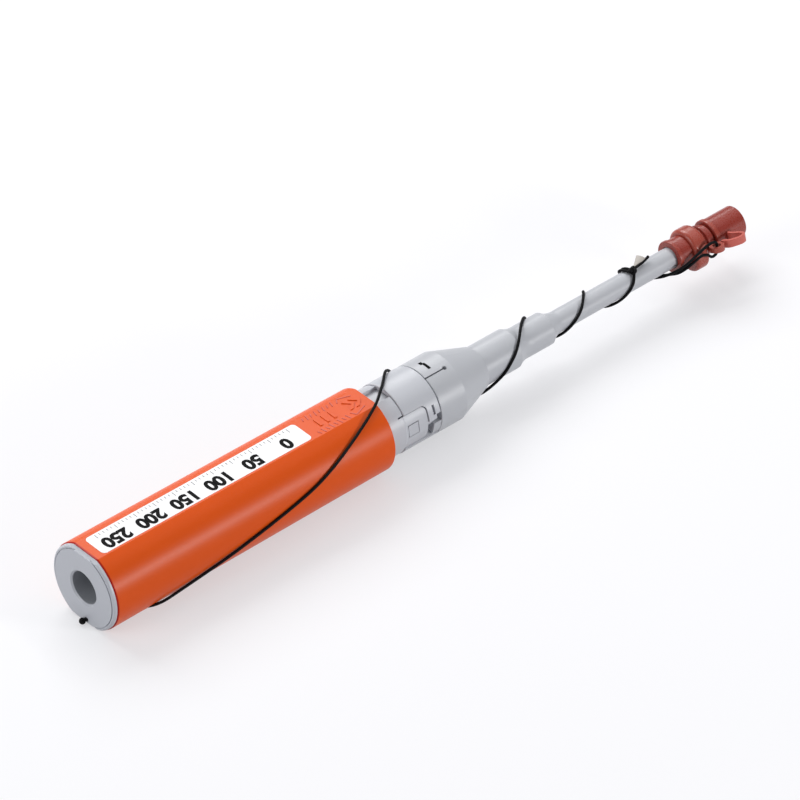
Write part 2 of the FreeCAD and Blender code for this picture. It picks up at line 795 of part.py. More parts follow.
# ---- guide cap, dust lid, strap ---------------------------------------------------------------------
def make_guide_cap():
    """Lipped sleeve, rounded flange with an ear below, beaded neck, spigot for the lid and an eyelet."""
    sleeve_bore = tube_rear_radius + running_gap
    lip_end = cap_start + cap_lip_width
    ramp = cap_lip_radius - cap_radius
    bead_start = flange_end + bead_inset
    neck_end = lid_start - side_gap
    body = turned([(cap_start, sleeve_bore), (cap_start, cap_lip_radius), (lip_end, cap_lip_radius),
                   (lip_end + ramp, cap_radius), (flange_start, cap_radius),
                   (flange_start, flange_radius), (flange_end, flange_radius), (flange_end, neck_radius),
                   (neck_end, neck_radius), (neck_end, cap_spigot_radius),
                   (cap_spigot_end, cap_spigot_radius), (cap_spigot_end, nozzle_bore),
                   (nozzle_end + slide_gap, nozzle_bore), (nozzle_end + slide_gap, sleeve_bore)])
    ear = Part.makeCylinder(ear_radius, flange_width, around(flange_start, ear_angle, ear_reach), along)
    ear = ear.cut(rod(flange_start, flange_end, neck_radius))
    ear = ear.makeFillet(flange_round, [edge for edge in ear.Edges if abs(edge.BoundBox.XLength) < 0.01
                                        and isinstance(edge.Curve, Part.Circle)
                                        and abs(edge.Curve.Radius - ear_radius) < 0.01])
    body = body.makeFillet(flange_round, rims(body, [(flange_start, flange_radius),
                                                     (flange_end, flange_radius)]))
    body = body.makeFillet(ramp, rims(body, [(cap_start, cap_lip_radius)]))
    bead = turned([(bead_start, neck_radius - side_gap), (bead_start, neck_radius),
                   (bead_start + side_gap, bead_radius), (bead_start + bead_width - side_gap, bead_radius),
                   (bead_start + bead_width, neck_radius), (bead_start + bead_width, neck_radius - side_gap)])
    centre = around(lug_station, lug_angle, lug_reach) - tangent(lug_angle) * (lug_thickness / 2)
    eye = Part.makeCylinder(lug_radius, lug_thickness, centre, tangent(lug_angle))
    arm = radial_block(lug_station - lug_hole, lug_station + lug_hole, neck_radius - side_gap, lug_reach,
                       lug_angle, lug_thickness)
    hole = Part.makeCylinder(lug_hole, lug_thickness, centre, tangent(lug_angle))
    return body.fuse([ear, bead, eye, arm]).cut(hole).removeSplitter()


def make_dust_lid():
    inner = cap_spigot_radius + running_gap
    lip_end = lid_start + lid_lip_width
    ramp = lid_lip_radius - lid_radius
    floor = cap_spigot_end + side_gap
    body = turned([(lid_start, inner), (lid_start, lid_lip_radius), (lip_end, lid_lip_radius),
                   (lip_end + ramp, lid_radius), (pen_length, lid_radius), (pen_length, 0), (floor, 0),
                   (floor, inner)])
    return body.makeFillet(lid_round, rims(body, [(lid_start, lid_lip_radius), (pen_length, lid_radius)]))


def make_lid_strap():
    """Flat strap that swings out from the lid's side and back to the eyelet's front."""
    root = lid_start + strap_root
    foot = lug_station + lug_radius + running_gap
    crest = lid_radius + strap_crest
    lift = strap_thickness / 2
    line = [(root, lid_radius + fit_gap), (root, lid_radius + lift),
            (root + 0.3, lid_radius + 0.32 * strap_crest), (root + 1.3, lid_radius + 0.62 * strap_crest),
            (root + 1.5, crest - 0.15 * strap_crest), (root + 0.4, crest), (root - 1.4, crest - 0.1 * strap_crest),
            (foot + 2.5 * lift, lug_reach + 0.16 * strap_crest), (foot + lift, lug_reach), (foot, lug_reach)]
    strap = ribbon(line, strap_thickness, strap_width)
    strap.rotate(origin, along, lug_angle)
    return strap


# ---- lanyard ----------------------------------------------------------------------------------------
# The first points lie inside the casing, between the stop knot and the hole in the casing's side.
inside_points = 5
stop_knot_at = (-0.75, 178.0, 8.35)
cord_route = [
    around(-0.7, 176, 8.1), around(2.6, 168, 7.75), around(6.2, 150, 7.7), around(9.6, 134, 9.3),
    around(13, 124, 10.85), around(21, 113, 10.59), around(34, 99, 10.63), around(46, 87, 10.44),
    around(55.5, 76, 10.43), around(62, 63, 10.4), around(67.5, 50, 10.34), around(73, 37, 10.4),
    around(78.2, 23, 10.44), around(81.6, 9, 9.42), around(85, -9, 8.7), around(88.5, -31, 9.19),
    around(91.9, -57, 8.89), around(95.2, -86, 9.08), around(98.3, -116, 9.26),
    around(101.3, -147, 8.95), around(104.4, -180, 8.1), around(107.4, -214, 6.74),
    around(110.5, -246, 5.73), around(114.2, -269, 5.34), around(117.5, -297, 5.3),
    around(120.2, -325, 5.34), around(122.7, -358, 4.89), around(124.9, -398, 4.36),
    around(125.8, -422, 4.38), around(126.6, -445, 4.36), around(127.3, -470, 4.41),
    around(128.1, -495, 4.38), around(128.8, -520, 4.39), around(129.6, -545, 4.42),
    around(130.4, -570, 4.41), around(131.3, -594, 4.33), around(132.4, -613, 3.72),
    around(133.6, -632, 3.27), around(136.2, -651, 2.97), around(138.7, -672, 3.01),
    around(140.7, -702, 3.08), around(141.6, -722, 2.95), around(142.4, -742, 3.03),
    around(143.2, -766, 3), around(143.9, -790, 3.01), around(144.6, -816, 3.03),
    around(145.2, -842, 3.01), around(145.8, -868, 3.02), around(146.4, -893, 3.01),
    around(147.2, -918, 3.01), around(148, -942, 3.01), around(150.2, -976, 3.17),
    around(152.6, -1000, 2.97), around(154.4, -1031, 3.19), around(155.9, -1066, 3.01)]

loop_route = [
    around(156.5, 8, 3.35), around(157.8, -26, 3.25), around(159.2, -70, 3.25), around(161, -115, 3.25),
    around(163, -160, 3.25), around(165.2, -200, 3.5), around(167.6, -232, 4.6),
    around(170.6, -253, 5.6), around(173.6, -264, 6.35), around(175.3, -269, 6.5),
    around(177.1, -272, 6.1), around(177.1, -298, 6.1), around(175.3, -303, 6.6), around(173, -293, 6.5),
    around(170.6, -273, 6.1), around(167.9, -245, 5), around(164.6, -205, 3.55),
    around(161.7, -160, 3.25), around(159.5, -115, 3.25), around(157.7, -70, 3.25),
    around(156.2, -28, 3.25), around(155.3, 8, 3.35)]


def make_lanyard_knot():
    centre = around(*knot_at)
    ball = Part.makeSphere(knot_radius, centre)
    tail_end = around(knot_at[0] + tail_length, -4, knot_at[2] - cord_radius)
    tail = Part.makeCylinder(cord_radius, (tail_end - centre).Length, centre, tail_end - centre)
    bead = Part.makeSphere(tail_bead, tail_end)
    return ball.fuse([tail, bead]).removeSplitter()


# ---- build and write --------------------------------------------------------------------------------
nodes = {
    "casing": make_casing,
    "label": make_label,
    "rear_cap": make_rear_cap,
    "stop_knot": make_stop_knot,
    "reel_frame": make_reel_frame,
    "reel_axles": make_reel_axles,
    "ratchet_pawl": make_ratchet_pawl,
    "supply_reel": lambda: make_reel(supply_station, False),
    "supply_thread": lambda: make_winding(supply_station, supply_winding),
    "take_up_reel": lambda: make_reel(take_up_station, True),
    "take_up_thread": lambda: make_winding(take_up_station, take_up_winding),
    "drive_gear": make_drive_gear,
    "rack_bar": make_rack_bar,
    "cleaning_shaft": make_cleaning_shaft,
    "cam_barrel": make_cam_barrel,
    "cleaning_tip": make_cleaning_tip,
    "inner_sleeve": make_inner_sleeve,
    "cam_pin": make_cam_pin,
    "collar_ring": make_collar_ring,
    "latch_button": make_latch_button,
    "nose": make_nose,
    "return_spring": make_return_spring,
    "guide_cap": make_guide_cap,
    "dust_lid": make_dust_lid,
    "lid_strap": make_lid_strap,
    "lanyard_cord": lambda: tube_along(cord_route, cord_radius),
    "lanyard_loop": lambda: tube_along(loop_route, cord_radius),
    "lanyard_knot": make_lanyard_knot,
}

os.makedirs("parts", exist_ok=True)
place = Vector(-pen_length / 2, 0, rest_flat_height)
for name, make in nodes.items():
    shape = make()
    shape.translate(place)
    shape.exportStep("parts/%s.step" % name)
    print("%-16s solids %d volume %9.2f valid %s" % (name, len(shape.Solids), shape.Volume, shape.isValid()))
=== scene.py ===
# %% [markdown]
# # A fibre connector cleaning pen
# The pen cleans the polished end of a fibre connector. Pressing the orange casing forward pushes the grey
# nose back into it, and a fine thread wipes the fibre's face. This lesson dresses the pen's rigid frame:
# it gives every moulded piece its plastic, prints the label, winds the lanyard and lights the whole.

# %% Load the frame
import bpy
import bmesh
import json
import math
from mathutils import Matrix, Vector


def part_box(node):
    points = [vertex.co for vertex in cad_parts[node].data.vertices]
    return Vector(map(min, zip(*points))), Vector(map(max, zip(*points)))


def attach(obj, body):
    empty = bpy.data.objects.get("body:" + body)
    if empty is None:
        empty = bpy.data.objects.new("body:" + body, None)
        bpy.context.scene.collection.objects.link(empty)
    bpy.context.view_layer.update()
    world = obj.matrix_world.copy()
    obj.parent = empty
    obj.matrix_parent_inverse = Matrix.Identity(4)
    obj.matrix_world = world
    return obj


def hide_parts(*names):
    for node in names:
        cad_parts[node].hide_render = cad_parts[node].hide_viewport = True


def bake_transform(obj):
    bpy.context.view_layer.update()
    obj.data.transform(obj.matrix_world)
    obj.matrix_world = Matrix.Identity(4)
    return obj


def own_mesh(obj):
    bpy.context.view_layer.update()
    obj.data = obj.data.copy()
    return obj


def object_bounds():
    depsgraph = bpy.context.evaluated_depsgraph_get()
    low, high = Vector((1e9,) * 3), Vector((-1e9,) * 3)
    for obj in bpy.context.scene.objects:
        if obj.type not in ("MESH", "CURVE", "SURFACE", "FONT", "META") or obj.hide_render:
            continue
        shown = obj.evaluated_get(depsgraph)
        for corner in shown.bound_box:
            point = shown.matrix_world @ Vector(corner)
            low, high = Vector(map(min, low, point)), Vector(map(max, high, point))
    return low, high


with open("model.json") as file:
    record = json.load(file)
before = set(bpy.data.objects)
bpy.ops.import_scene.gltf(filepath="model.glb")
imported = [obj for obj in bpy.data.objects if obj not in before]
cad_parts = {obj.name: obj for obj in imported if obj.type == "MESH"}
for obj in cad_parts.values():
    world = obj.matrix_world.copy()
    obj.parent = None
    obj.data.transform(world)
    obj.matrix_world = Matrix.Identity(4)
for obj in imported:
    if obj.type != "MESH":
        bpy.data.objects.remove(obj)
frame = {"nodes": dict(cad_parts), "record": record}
cad_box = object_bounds()
nodes = frame["nodes"]
print("nodes:", len(nodes), "box:", [tuple(round(v, 4) for v in corner) for corner in cad_box])

# %% [markdown]
# Every place on the pen is easiest to say as a station along its axis, an angle round it and a radius.
# Plain X, Y and Z would do as well, but a cord that winds round the pen is hard to write down in them.
# The axis runs through the middle of the nose, and the stations start at the face of the rear cap, so both
# come from the frame. The angle is counted from the top, turning towards the pen's right side.

# %% Stations, angles and radii
mm = 0.001
rear_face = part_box("rear_cap")[0].x
axis_height = (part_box("nose")[0].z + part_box("nose")[1].z) / 2


def on_pen(station, angle, radius):
    """Point in metres from a station and a radius in millimetres and an angle in degrees."""
    turn = math.radians(angle)
    return Vector((rear_face + station * mm, -math.sin(turn) * radius * mm,
                   axis_height + math.cos(turn) * radius * mm))


def station_of(x):
    """Station in millimetres of a place along X in metres."""
    return (x - rear_face) / mm


nose_end = station_of(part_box("nose")[1].x)
print("axis height", round(axis_height / mm, 2), "mm, nose ends at", round(nose_end, 2))

# %% [markdown]
# The shader trees below are built in code, and two helpers keep them readable: one makes an empty node group
# with named sockets, the other a math node whose operands may be links or plain numbers.

# %% Helpers for shader nodes
def new_group(name, inputs, outputs):
    """Empty shader node group with named sockets."""
    group = bpy.data.node_groups.new(name, "ShaderNodeTree")
    for socket, kind, value in inputs:
        made = group.interface.new_socket(socket, in_out="INPUT", socket_type="NodeSocket" + kind)
        made.default_value = value
    for socket, kind in outputs:
        group.interface.new_socket(socket, in_out="OUTPUT", socket_type="NodeSocket" + kind)
    return group, group.nodes.new("NodeGroupInput"), group.nodes.new("NodeGroupOutput")


def math_node(tree, operation, first, second=0.0):
    """Math node with its two operands as links or values."""
    node = tree.nodes.new("ShaderNodeMath")
    node.operation = operation
    for socket, value in zip(node.inputs, (first, second)):
        if isinstance(value, (int, float)):
            socket.default_value = value
        else:
            tree.links.new(value, socket)
    return node.outputs[0]


def object_place(tree):
    """Socket with the place on the piece, in its own coordinates."""
    return tree.nodes.new("ShaderNodeTexCoord").outputs["Object"]


print("helpers: new_group, math_node and object_place")

# %% [markdown]
# Moulded plastic is never one flat colour. Its skin carries the fine spark-eroded grain of the mould, and
# its shade and gloss drift a little where the plastic cooled. An image could show that, but noise in the
# piece's own coordinates needs no unwrapping and stays sharp close up. One node group makes it for every
# plastic here, so each material only sets its colour, its gloss and the height of its grain.

# %% Node group for moulded plastic
drift_scale = 90
grain_scale = 3000
grain_depth = 0.02 * mm
gloss_spread = 0.12


def make_moulded_group():
    """Group that turns a colour and a roughness into those of a moulded skin."""
    group, given, result = new_group(
        "moulded plastic",
        [("Color", "Color", (0.5, 0.5, 0.5, 1)), ("Drift", "Float", 0.05), ("Roughness", "Float", 0.4),
         ("Grain Height", "Float", 0.1)],
        [("Color", "Color"), ("Roughness", "Float"), ("Normal", "Vector")])
    place = object_place(group)
    slow = group.nodes.new("ShaderNodeTexNoise")
    slow.inputs["Scale"].default_value = drift_scale
    slow.inputs["Detail"].default_value = 3
    grain = group.nodes.new("ShaderNodeTexNoise")
    grain.inputs["Scale"].default_value = grain_scale
    grain.inputs["Detail"].default_value = 2
    group.links.new(place, slow.inputs["Vector"])
    group.links.new(place, grain.inputs["Vector"])
    drift = math_node(group, "SUBTRACT", slow.outputs["Fac"], 0.5)
    shade = math_node(group, "MULTIPLY", drift, given.outputs["Drift"])
    tone = group.nodes.new("ShaderNodeHueSaturation")
    group.links.new(math_node(group, "ADD", shade, 1.0), tone.inputs["Value"])
    group.links.new(given.outputs["Color"], tone.inputs["Color"])
    uneven = math_node(group, "SUBTRACT", grain.outputs["Fac"], 0.5)
    gloss = math_node(group, "MULTIPLY", uneven, gloss_spread)
    bump = group.nodes.new("ShaderNodeBump")
    bump.inputs["Distance"].default_value = grain_depth
    group.links.new(given.outputs["Grain Height"], bump.inputs["Strength"])
    group.links.new(grain.outputs["Fac"], bump.inputs["Height"])
    group.links.new(tone.outputs["Color"], result.inputs["Color"])
    group.links.new(math_node(group, "ADD", given.outputs["Roughness"], gloss), result.inputs["Roughness"])
    group.links.new(bump.outputs["Normal"], result.inputs["Normal"])
    return group


moulded_group = make_moulded_group()
print("group sockets:", [socket.name for socket in moulded_group.interface.items_tree])

# %% [markdown]
# A plastic is then a Principled shader fed by that group. How strongly it mirrors is the same all over a
# piece, so that is a plain number on the shader itself and not a node.

# %% Materials from the group
def srgb(red, green, blue):
    """Linear colour from the eight-bit values that a paint chart gives."""
    def linear(value):
        value /= 255
        return value / 12.92 if value <= 0.04045 else ((value + 0.055) / 1.055) ** 2.4
    return (linear(red), linear(green), linear(blue), 1.0)


def new_material(name):
    """Material with a Principled shader, and that shader."""
    material = bpy.data.materials.new(name)
    material.use_nodes = True
    return material, material.node_tree.nodes["Principled BSDF"]


def moulded(name, color, roughness, level=0.5, drift=0.05, grain_height=0.1):
    """Plastic from the moulded group."""
    material, shader = new_material(name)
    shader.inputs["Specular IOR Level"].default_value = level
    tree = material.node_tree
    group = tree.nodes.new("ShaderNodeGroup")
    group.node_tree = moulded_group
    for socket, value in (("Color", color), ("Drift", drift), ("Roughness", roughness),
                          ("Grain Height", grain_height)):
        group.inputs[socket].default_value = value
    for socket, target in (("Color", "Base Color"), ("Roughness", "Roughness"), ("Normal", "Normal")):
        tree.links.new(group.outputs[socket], shader.inputs[target])
    return material


print("a plastic takes its colour, roughness, level, drift and grain height")

# %% [markdown]
# Three plastics change shade where light gets into an edge or is kept out of a hole. Such a place could be
# a second material on chosen faces, but its border would follow the mesh. A mask worked out from the
# place on the piece gives a soft border that no mesh has to carry.

# %% Shading by place
def shade_where(material, mask, color):
    """Mix a second colour into a material's plastic where a mask socket says so."""
    tree = material.node_tree
    group = next(node for node in tree.nodes if node.type == "GROUP")
    mix = tree.nodes.new("ShaderNodeMix")
    mix.data_type = "RGBA"
    mix.inputs["A"].default_value = group.inputs["Color"].default_value
    mix.inputs["B"].default_value = color
    tree.links.new(mask, mix.inputs["Factor"])
    tree.links.new(mix.outputs["Result"], group.inputs["Color"])


def band_mask(material, axis, low, high):
    """Socket that rises from 0 to 1 between two places on an axis, or on the radius round the pen."""
    tree = material.node_tree
    split = tree.nodes.new("ShaderNodeSeparateXYZ")
    tree.links.new(object_place(tree), split.inputs["Vector"])
    if axis == "radius":
        height = math_node(tree, "SUBTRACT", split.outputs["Z"], axis_height)
        tall = math_node(tree, "MULTIPLY", height, height)
        wide = math_node(tree, "MULTIPLY", split.outputs["Y"], split.outputs["Y"])
        value = math_node(tree, "SQRT", math_node(tree, "ADD", wide, tall))
    else:
        value = split.outputs[axis]
    ramp = tree.nodes.new("ShaderNodeMapRange")
    ramp.interpolation_type = "SMOOTHSTEP"
    ramp.inputs["From Min"].default_value = low
    ramp.inputs["From Max"].default_value = high
    tree.links.new(value, ramp.inputs["Value"])
    return ramp.outputs["Result"]


print("masks run along an axis or on the radius")

# %% [markdown]
# The casing is orange, with painted shade that turns its thin rear rim a darker red. The rear cap is grey,
# with painted shade that makes its socket darker. The guide cap and lid are red brown, with painted light
# that makes their raised lips paler, and the strap is painted paler still, for light through its thin
# plastic.
# The nose has a finer skin than the other grey pieces.

# %% Plastics
rim_shade_end, rim_shade_start = rear_face + 1.45 * mm, rear_face + 1.05 * mm
socket_shade_outside, socket_shade_inside = 3.98 * mm, 3.86 * mm
lip_light_inside, lip_light_outside = 3.7 * mm, 4.1 * mm

orange = moulded("orange casing plastic", srgb(222, 84, 16), 0.36, level=0.16)
# painted shade: the casing's thin rear rim is turned a darker red
shade_where(orange, band_mask(orange, "X", rim_shade_end, rim_shade_start), srgb(170, 22, 8))
light_grey = moulded("light grey plastic", srgb(190, 192, 198), 0.34, level=0.4)
nozzle_grey = moulded("smooth grey nozzle plastic", srgb(182, 184, 189), 0.38, grain_height=0.04)
cap_grey = moulded("grey rear cap plastic", srgb(192, 195, 202), 0.4)
# painted shade: the socket in the middle of the rear cap is darker, for the shade inside the hole
shade_where(cap_grey, band_mask(cap_grey, "radius", socket_shade_outside, socket_shade_inside), srgb(158, 161, 167))
cap_brown = moulded("red brown cap plastic", srgb(142, 50, 38), 0.28)
# painted light: the cap and lid are paler outside the lip radius, on their raised lips
shade_where(cap_brown, band_mask(cap_brown, "radius", lip_light_inside, lip_light_outside), srgb(158, 68, 54))
# painted light: the strap is the cap's red brown made paler, for light through its thin plastic
strap_pink = moulded("pale red strap plastic", srgb(190, 88, 76), 0.36)
reel_black = moulded("black reel plastic", srgb(38, 38, 40), 0.45)
label_white = moulded("white label film", srgb(246, 246, 247), 0.5, level=0.15, drift=0.01,
                      grain_height=0.02)
print("plastics:", [material.name for material in bpy.data.materials])

# %% [markdown]
# The axles, the spring and the cam pin are drawn steel, a metal with faint lines along it. An anisotropic
# shader could suggest them by its glints alone. Noise stretched along X in the roughness is simpler, and it
# shows from every side.

# %% Steel
line_stretch = (200, 6000, 6000)


def make_steel():
    """Metal whose roughness changes in fine lines along X."""
    material, shader = new_material("drawn steel")
    tree = material.node_tree
    stretch = tree.nodes.new("ShaderNodeMapping")
    stretch.inputs["Scale"].default_value = line_stretch
    lines = tree.nodes.new("ShaderNodeTexNoise")
    lines.inputs["Scale"].default_value = 1.0
    tree.links.new(object_place(tree), stretch.inputs["Vector"])
    tree.links.new(stretch.outputs["Vector"], lines.inputs["Vector"])
    rough = math_node(tree, "ADD", math_node(tree, "MULTIPLY", lines.outputs["Fac"], 0.2), 0.2)
    tree.links.new(rough, shader.inputs["Roughness"])
    shader.inputs["Base Color"].default_value = srgb(190, 190, 195)
    shader.inputs["Metallic"].default_value = 1.0
    return material


steel = make_steel()
print("metal:", steel.name)

# %% [markdown]
# The lanyard and the cleaning thread are fibres twisted together. Modelled strand by strand they would cost
# many thousand faces for something under a millimetre thick, so a diagonal wave gives the fine cross pattern
# in shade and relief. The white thread also has a little sheen, for its loose hairs. The black cord has none.

# %% Cord and thread
twist_depth = 0.04 * mm


def twisted(name, color, scale, level, sheen):
    """Textile with a fine twisted relief."""
    material, shader = new_material(name)
    tree = material.node_tree
    wave = tree.nodes.new("ShaderNodeTexWave")
    wave.bands_direction = "DIAGONAL"
    wave.inputs["Scale"].default_value = scale
    wave.inputs["Distortion"].default_value = 2.0
    tree.links.new(object_place(tree), wave.inputs["Vector"])
    bump = tree.nodes.new("ShaderNodeBump")
    bump.inputs["Strength"].default_value = 0.5
    bump.inputs["Distance"].default_value = twist_depth
    tree.links.new(wave.outputs["Fac"], bump.inputs["Height"])
    tree.links.new(bump.outputs["Normal"], shader.inputs["Normal"])
    tone = tree.nodes.new("ShaderNodeHueSaturation")
    tone.inputs["Color"].default_value = color
    shade = math_node(tree, "ADD", math_node(tree, "MULTIPLY", wave.outputs["Fac"], 0.4), 0.8)
    tree.links.new(shade, tone.inputs["Value"])
    tree.links.new(tone.outputs["Color"], shader.inputs["Base Color"])
    shader.inputs["Roughness"].default_value = 0.6
    shader.inputs["Specular IOR Level"].default_value = level
    shader.inputs["Sheen Weight"].default_value = sheen
    return material


cord_black = twisted("black lanyard cord", srgb(9, 9, 12), scale=1500.0, level=0.12, sheen=0.0)
thread_white = twisted("white cleaning thread", srgb(236, 236, 232), scale=2500.0, level=0.3, sheen=0.3)
print("textiles:", cord_black.name, "and", thread_white.name)

# %% [markdown]
# Now each piece of the frame gets its material. The record names a slot for every node, so the slots decide
# and no node is forgotten. Three nodes then get a finish of their own.

# %% Dress the frame
finish_of = {"casing_orange": orange, "label_white": label_white, "light_grey": light_grey,
             "cap_brown": cap_brown, "reel_black": reel_black, "thread_white": thread_white,
             "cord_black": cord_black, "steel": steel}
for subpart in frame["record"]["subparts"]:
    piece = nodes[subpart["node"]]
    piece.data.materials.clear()
    piece.data.materials.append(finish_of[subpart["material_slot"]])
for node, material in (("lid_strap", strap_pink), ("nose", nozzle_grey), ("rear_cap", cap_grey)):
    nodes[node].data.materials[0] = material

# %% [markdown]
# Two pieces give way when a joint moves. The lid's strap stretches as the lid is pulled off, and the return
# spring is squeezed as the nose goes in. Each becomes a piece of its own, from a copy of its node's mesh, and
# the spring rides on the casing. Both could be drawn again as a ribbon and a coil, but a copy of the node's
# mesh has the right shape already, and only a piece of its own may bend.

# %% Strap and spring as pieces of their own
def new_piece(name, data):
    """Object with the given mesh, curve, lamp or camera, linked to the scene."""
    piece = bpy.data.objects.new(name, data)
    bpy.context.scene.collection.objects.link(piece)
    return piece


soft_strap = new_piece("soft_strap", nodes["lid_strap"].data.copy())
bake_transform(soft_strap)
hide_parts("lid_strap")

squeezed_spring = new_piece("squeezed_spring", nodes["return_spring"].data.copy())
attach(squeezed_spring, "casing")
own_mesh(squeezed_spring)
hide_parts("return_spring")

# %% [markdown]
# The lanyard is one thin limp cord. A cord could be a chain of bodies let fall in a simulation, but this one
# lies where a hand wound it, so a smooth spline through a list of places says that best. The spline passes
# near its points and not through them, which rounds every bend as a limp cord does.

# %% Tubes along a spline
def spline_route(name, points):
    """Curve object with one open NURBS spline through the control points."""
    curve = bpy.data.curves.new(name, "CURVE")
    curve.dimensions = "3D"
    curve.resolution_u = 12
    spline = curve.splines.new("NURBS")
    spline.points.add(len(points) - 1)
    for control, point in zip(spline.points, points):
        control.co = (*point, 1.0)
    spline.order_u = 3
    spline.use_endpoint_u = True
    return new_piece(name, curve)


def as_mesh(piece):
    """New mesh of a curve or text object as it shows now."""
    bpy.context.view_layer.update()
    graph = bpy.context.evaluated_depsgraph_get()
    return bpy.data.meshes.new_from_object(piece.evaluated_get(graph))


def thickened(guide, diameter, closed=False):
    """Mesh tube of the given diameter along a curve object, which is used up."""
    guide.data.bevel_depth = diameter / 2
    guide.data.bevel_resolution = 3
    guide.data.use_fill_caps = not closed
    mesh = as_mesh(guide)
    bpy.data.objects.remove(guide)
    return mesh


def cord_along(name, points, diameter, material):
    """Mesh tube along the spline of the points, and the line that it follows."""
    guide = spline_route(name + "_guide", points)
    line = [vertex.co.copy() for vertex in as_mesh(guide).vertices]
    piece = new_piece(name, thickened(guide, diameter))
    piece.data.materials.clear()
    piece.data.materials.append(material)
    piece.data.polygons.foreach_set("use_smooth", [True] * len(piece.data.polygons))
    length = sum((b - a).length for a, b in zip(line, line[1:]))
    print(name, "length", round(length / mm, 1), "mm")
    return piece, line, length


cord_diameter = 0.66 * mm
print("cord diameter", round(cord_diameter / mm, 2), "mm")

# %% [markdown]
# The lanyard starts at a small knot in the rear cap, runs forward up the casing's side, crosses the key
# groove and winds round the nozzle to a knot. From there a doubled loop goes on to the eyelet of the guide
# cap. The angle keeps counting past a full turn, so a list shows at a glance how often the cord goes round.

# %% Routes of the lanyard
cord_route = [
    on_pen(-0.7, 176, 8.1), on_pen(2.6, 168, 7.75), on_pen(6.2, 150, 7.7), on_pen(9.6, 134, 9.3),
    on_pen(13, 124, 10.85), on_pen(19, 118.5, 10.6), on_pen(26, 110, 10.55), on_pen(34, 101, 10.55),
    on_pen(46, 87.5, 10.4), on_pen(55.5, 76, 10.35), on_pen(62, 63, 10.32), on_pen(67.5, 50, 10.3),
    on_pen(73, 37, 10.28), on_pen(78.2, 23, 10.42), on_pen(81.6, 9, 9.42), on_pen(85, -9, 8.7),
    on_pen(88.5, -31, 9.15), on_pen(91.9, -57, 8.85), on_pen(95.2, -86, 9), on_pen(98.5, -114, 9),
    on_pen(101.4, -140, 8.85), on_pen(104.3, -163, 7.6), on_pen(107, -185, 6.65),
    on_pen(109.2, -209, 5.95), on_pen(111, -230, 5.4), on_pen(112.8, -248, 5.2),
    on_pen(114.8, -264, 5.12), on_pen(116.4, -282, 5.12), on_pen(118.2, -299, 5.12),
    on_pen(119.9, -317, 5.15), on_pen(121.8, -338, 4.9), on_pen(123.8, -361, 4.33),
    on_pen(125.9, -385, 4.28), on_pen(127.6, -408, 4.31), on_pen(129, -435, 4.34),
    on_pen(130, -465, 4.37), on_pen(130.9, -497, 4.3), on_pen(131.8, -529, 3.7),
    on_pen(132.8, -561, 3.15), on_pen(134, -591, 2.95), on_pen(135.6, -616, 2.93),
    on_pen(137.6, -641, 2.93), on_pen(139.6, -670, 2.96), on_pen(141.3, -702, 2.96),
    on_pen(142.9, -734, 2.95), on_pen(144.1, -766, 2.95), on_pen(145, -798, 2.95),
    on_pen(145.8, -830, 2.95), on_pen(146.6, -862, 2.95), on_pen(147.4, -894, 2.95),
    on_pen(148.6, -924, 2.95), on_pen(150.6, -955, 2.95), on_pen(152.7, -981, 2.93),
    on_pen(154.5, -1010, 2.93), on_pen(155.6, -1038, 2.95), on_pen(156.4, -1062, 3.05)]
loop_route = [
    on_pen(155.5, 16, 3.15), on_pen(155.1, -12, 3), on_pen(154.8, -44, 3), on_pen(155.6, -80, 3),
    on_pen(157.6, -112, 3), on_pen(160, -142, 3), on_pen(162.3, -172, 3), on_pen(164.2, -205, 3),
    on_pen(165.4, -235, 3.2), on_pen(166.6, -258, 3.9), on_pen(168.6, -273, 4.7),
    on_pen(171, -286, 5.05), on_pen(173.4, -296, 5.5), on_pen(175.2, -302, 6.1),
    on_pen(176.8, -300, 6.4), on_pen(177.1, -289, 5.9), on_pen(177, -279, 5.9),
    on_pen(176.2, -272, 6.2), on_pen(174.7, -273, 6.4), on_pen(173.9, -283, 6.2),
    on_pen(172.4, -286, 5.8), on_pen(170.6, -276, 5.3), on_pen(168.7, -263, 4.8),
    on_pen(167.2, -246, 4.2), on_pen(166.2, -225, 3.3), on_pen(165, -198, 3), on_pen(163, -164, 3),
    on_pen(160.7, -132, 3), on_pen(158.4, -102, 3), on_pen(156.5, -74, 3), on_pen(155.7, -44, 3),
    on_pen(156, -14, 3), on_pen(156.3, 16, 3.15)]
print("route points:", len(cord_route), "and", len(loop_route))

# %% [markdown]
# Both stretches cross a joint: the first one the push of the nose, the second one the pull of the cap. Each
# is one tube across the joint, because a cord cut in two at the joint would show a gap.

# %% The lanyard's two stretches
lanyard, lanyard_line, lanyard_length = cord_along("lanyard", cord_route, cord_diameter, cord_black)
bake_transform(lanyard)
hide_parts("lanyard_cord")
loop, loop_line, loop_length = cord_along("lanyard_end_loop", loop_route, cord_diameter, cord_black)
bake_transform(loop)
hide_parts("lanyard_loop")

# %% [markdown]
# Where the lanyard ends, it is knotted to its loop: a small overhand knot with a short cut tail. A ball would
# stand for it from afar. The closed three-lobed line of an overhand knot pulled tight, given the cord's
# thickness, has the real crossings and is hardly more work.

# %% Knot and tail
knot_size = 0.26 * mm
knot_steps = 24


def mesh_of(form, name):
    """Mesh with the shape of a bmesh, which is freed."""
    mesh = bpy.data.meshes.new(name)
    form.to_mesh(mesh)
    form.free()
    return mesh


def joined(name, meshes, material, body, smooth=False):
    """One object from several meshes, riding on a body."""
    form = bmesh.new()
    for mesh in meshes:
        form.from_mesh(mesh)
    for face in form.faces:
        face.smooth = smooth
    piece = new_piece(name, mesh_of(form, name))
    piece.data.materials.clear()
    piece.data.materials.append(material)
    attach(piece, body)
    return piece


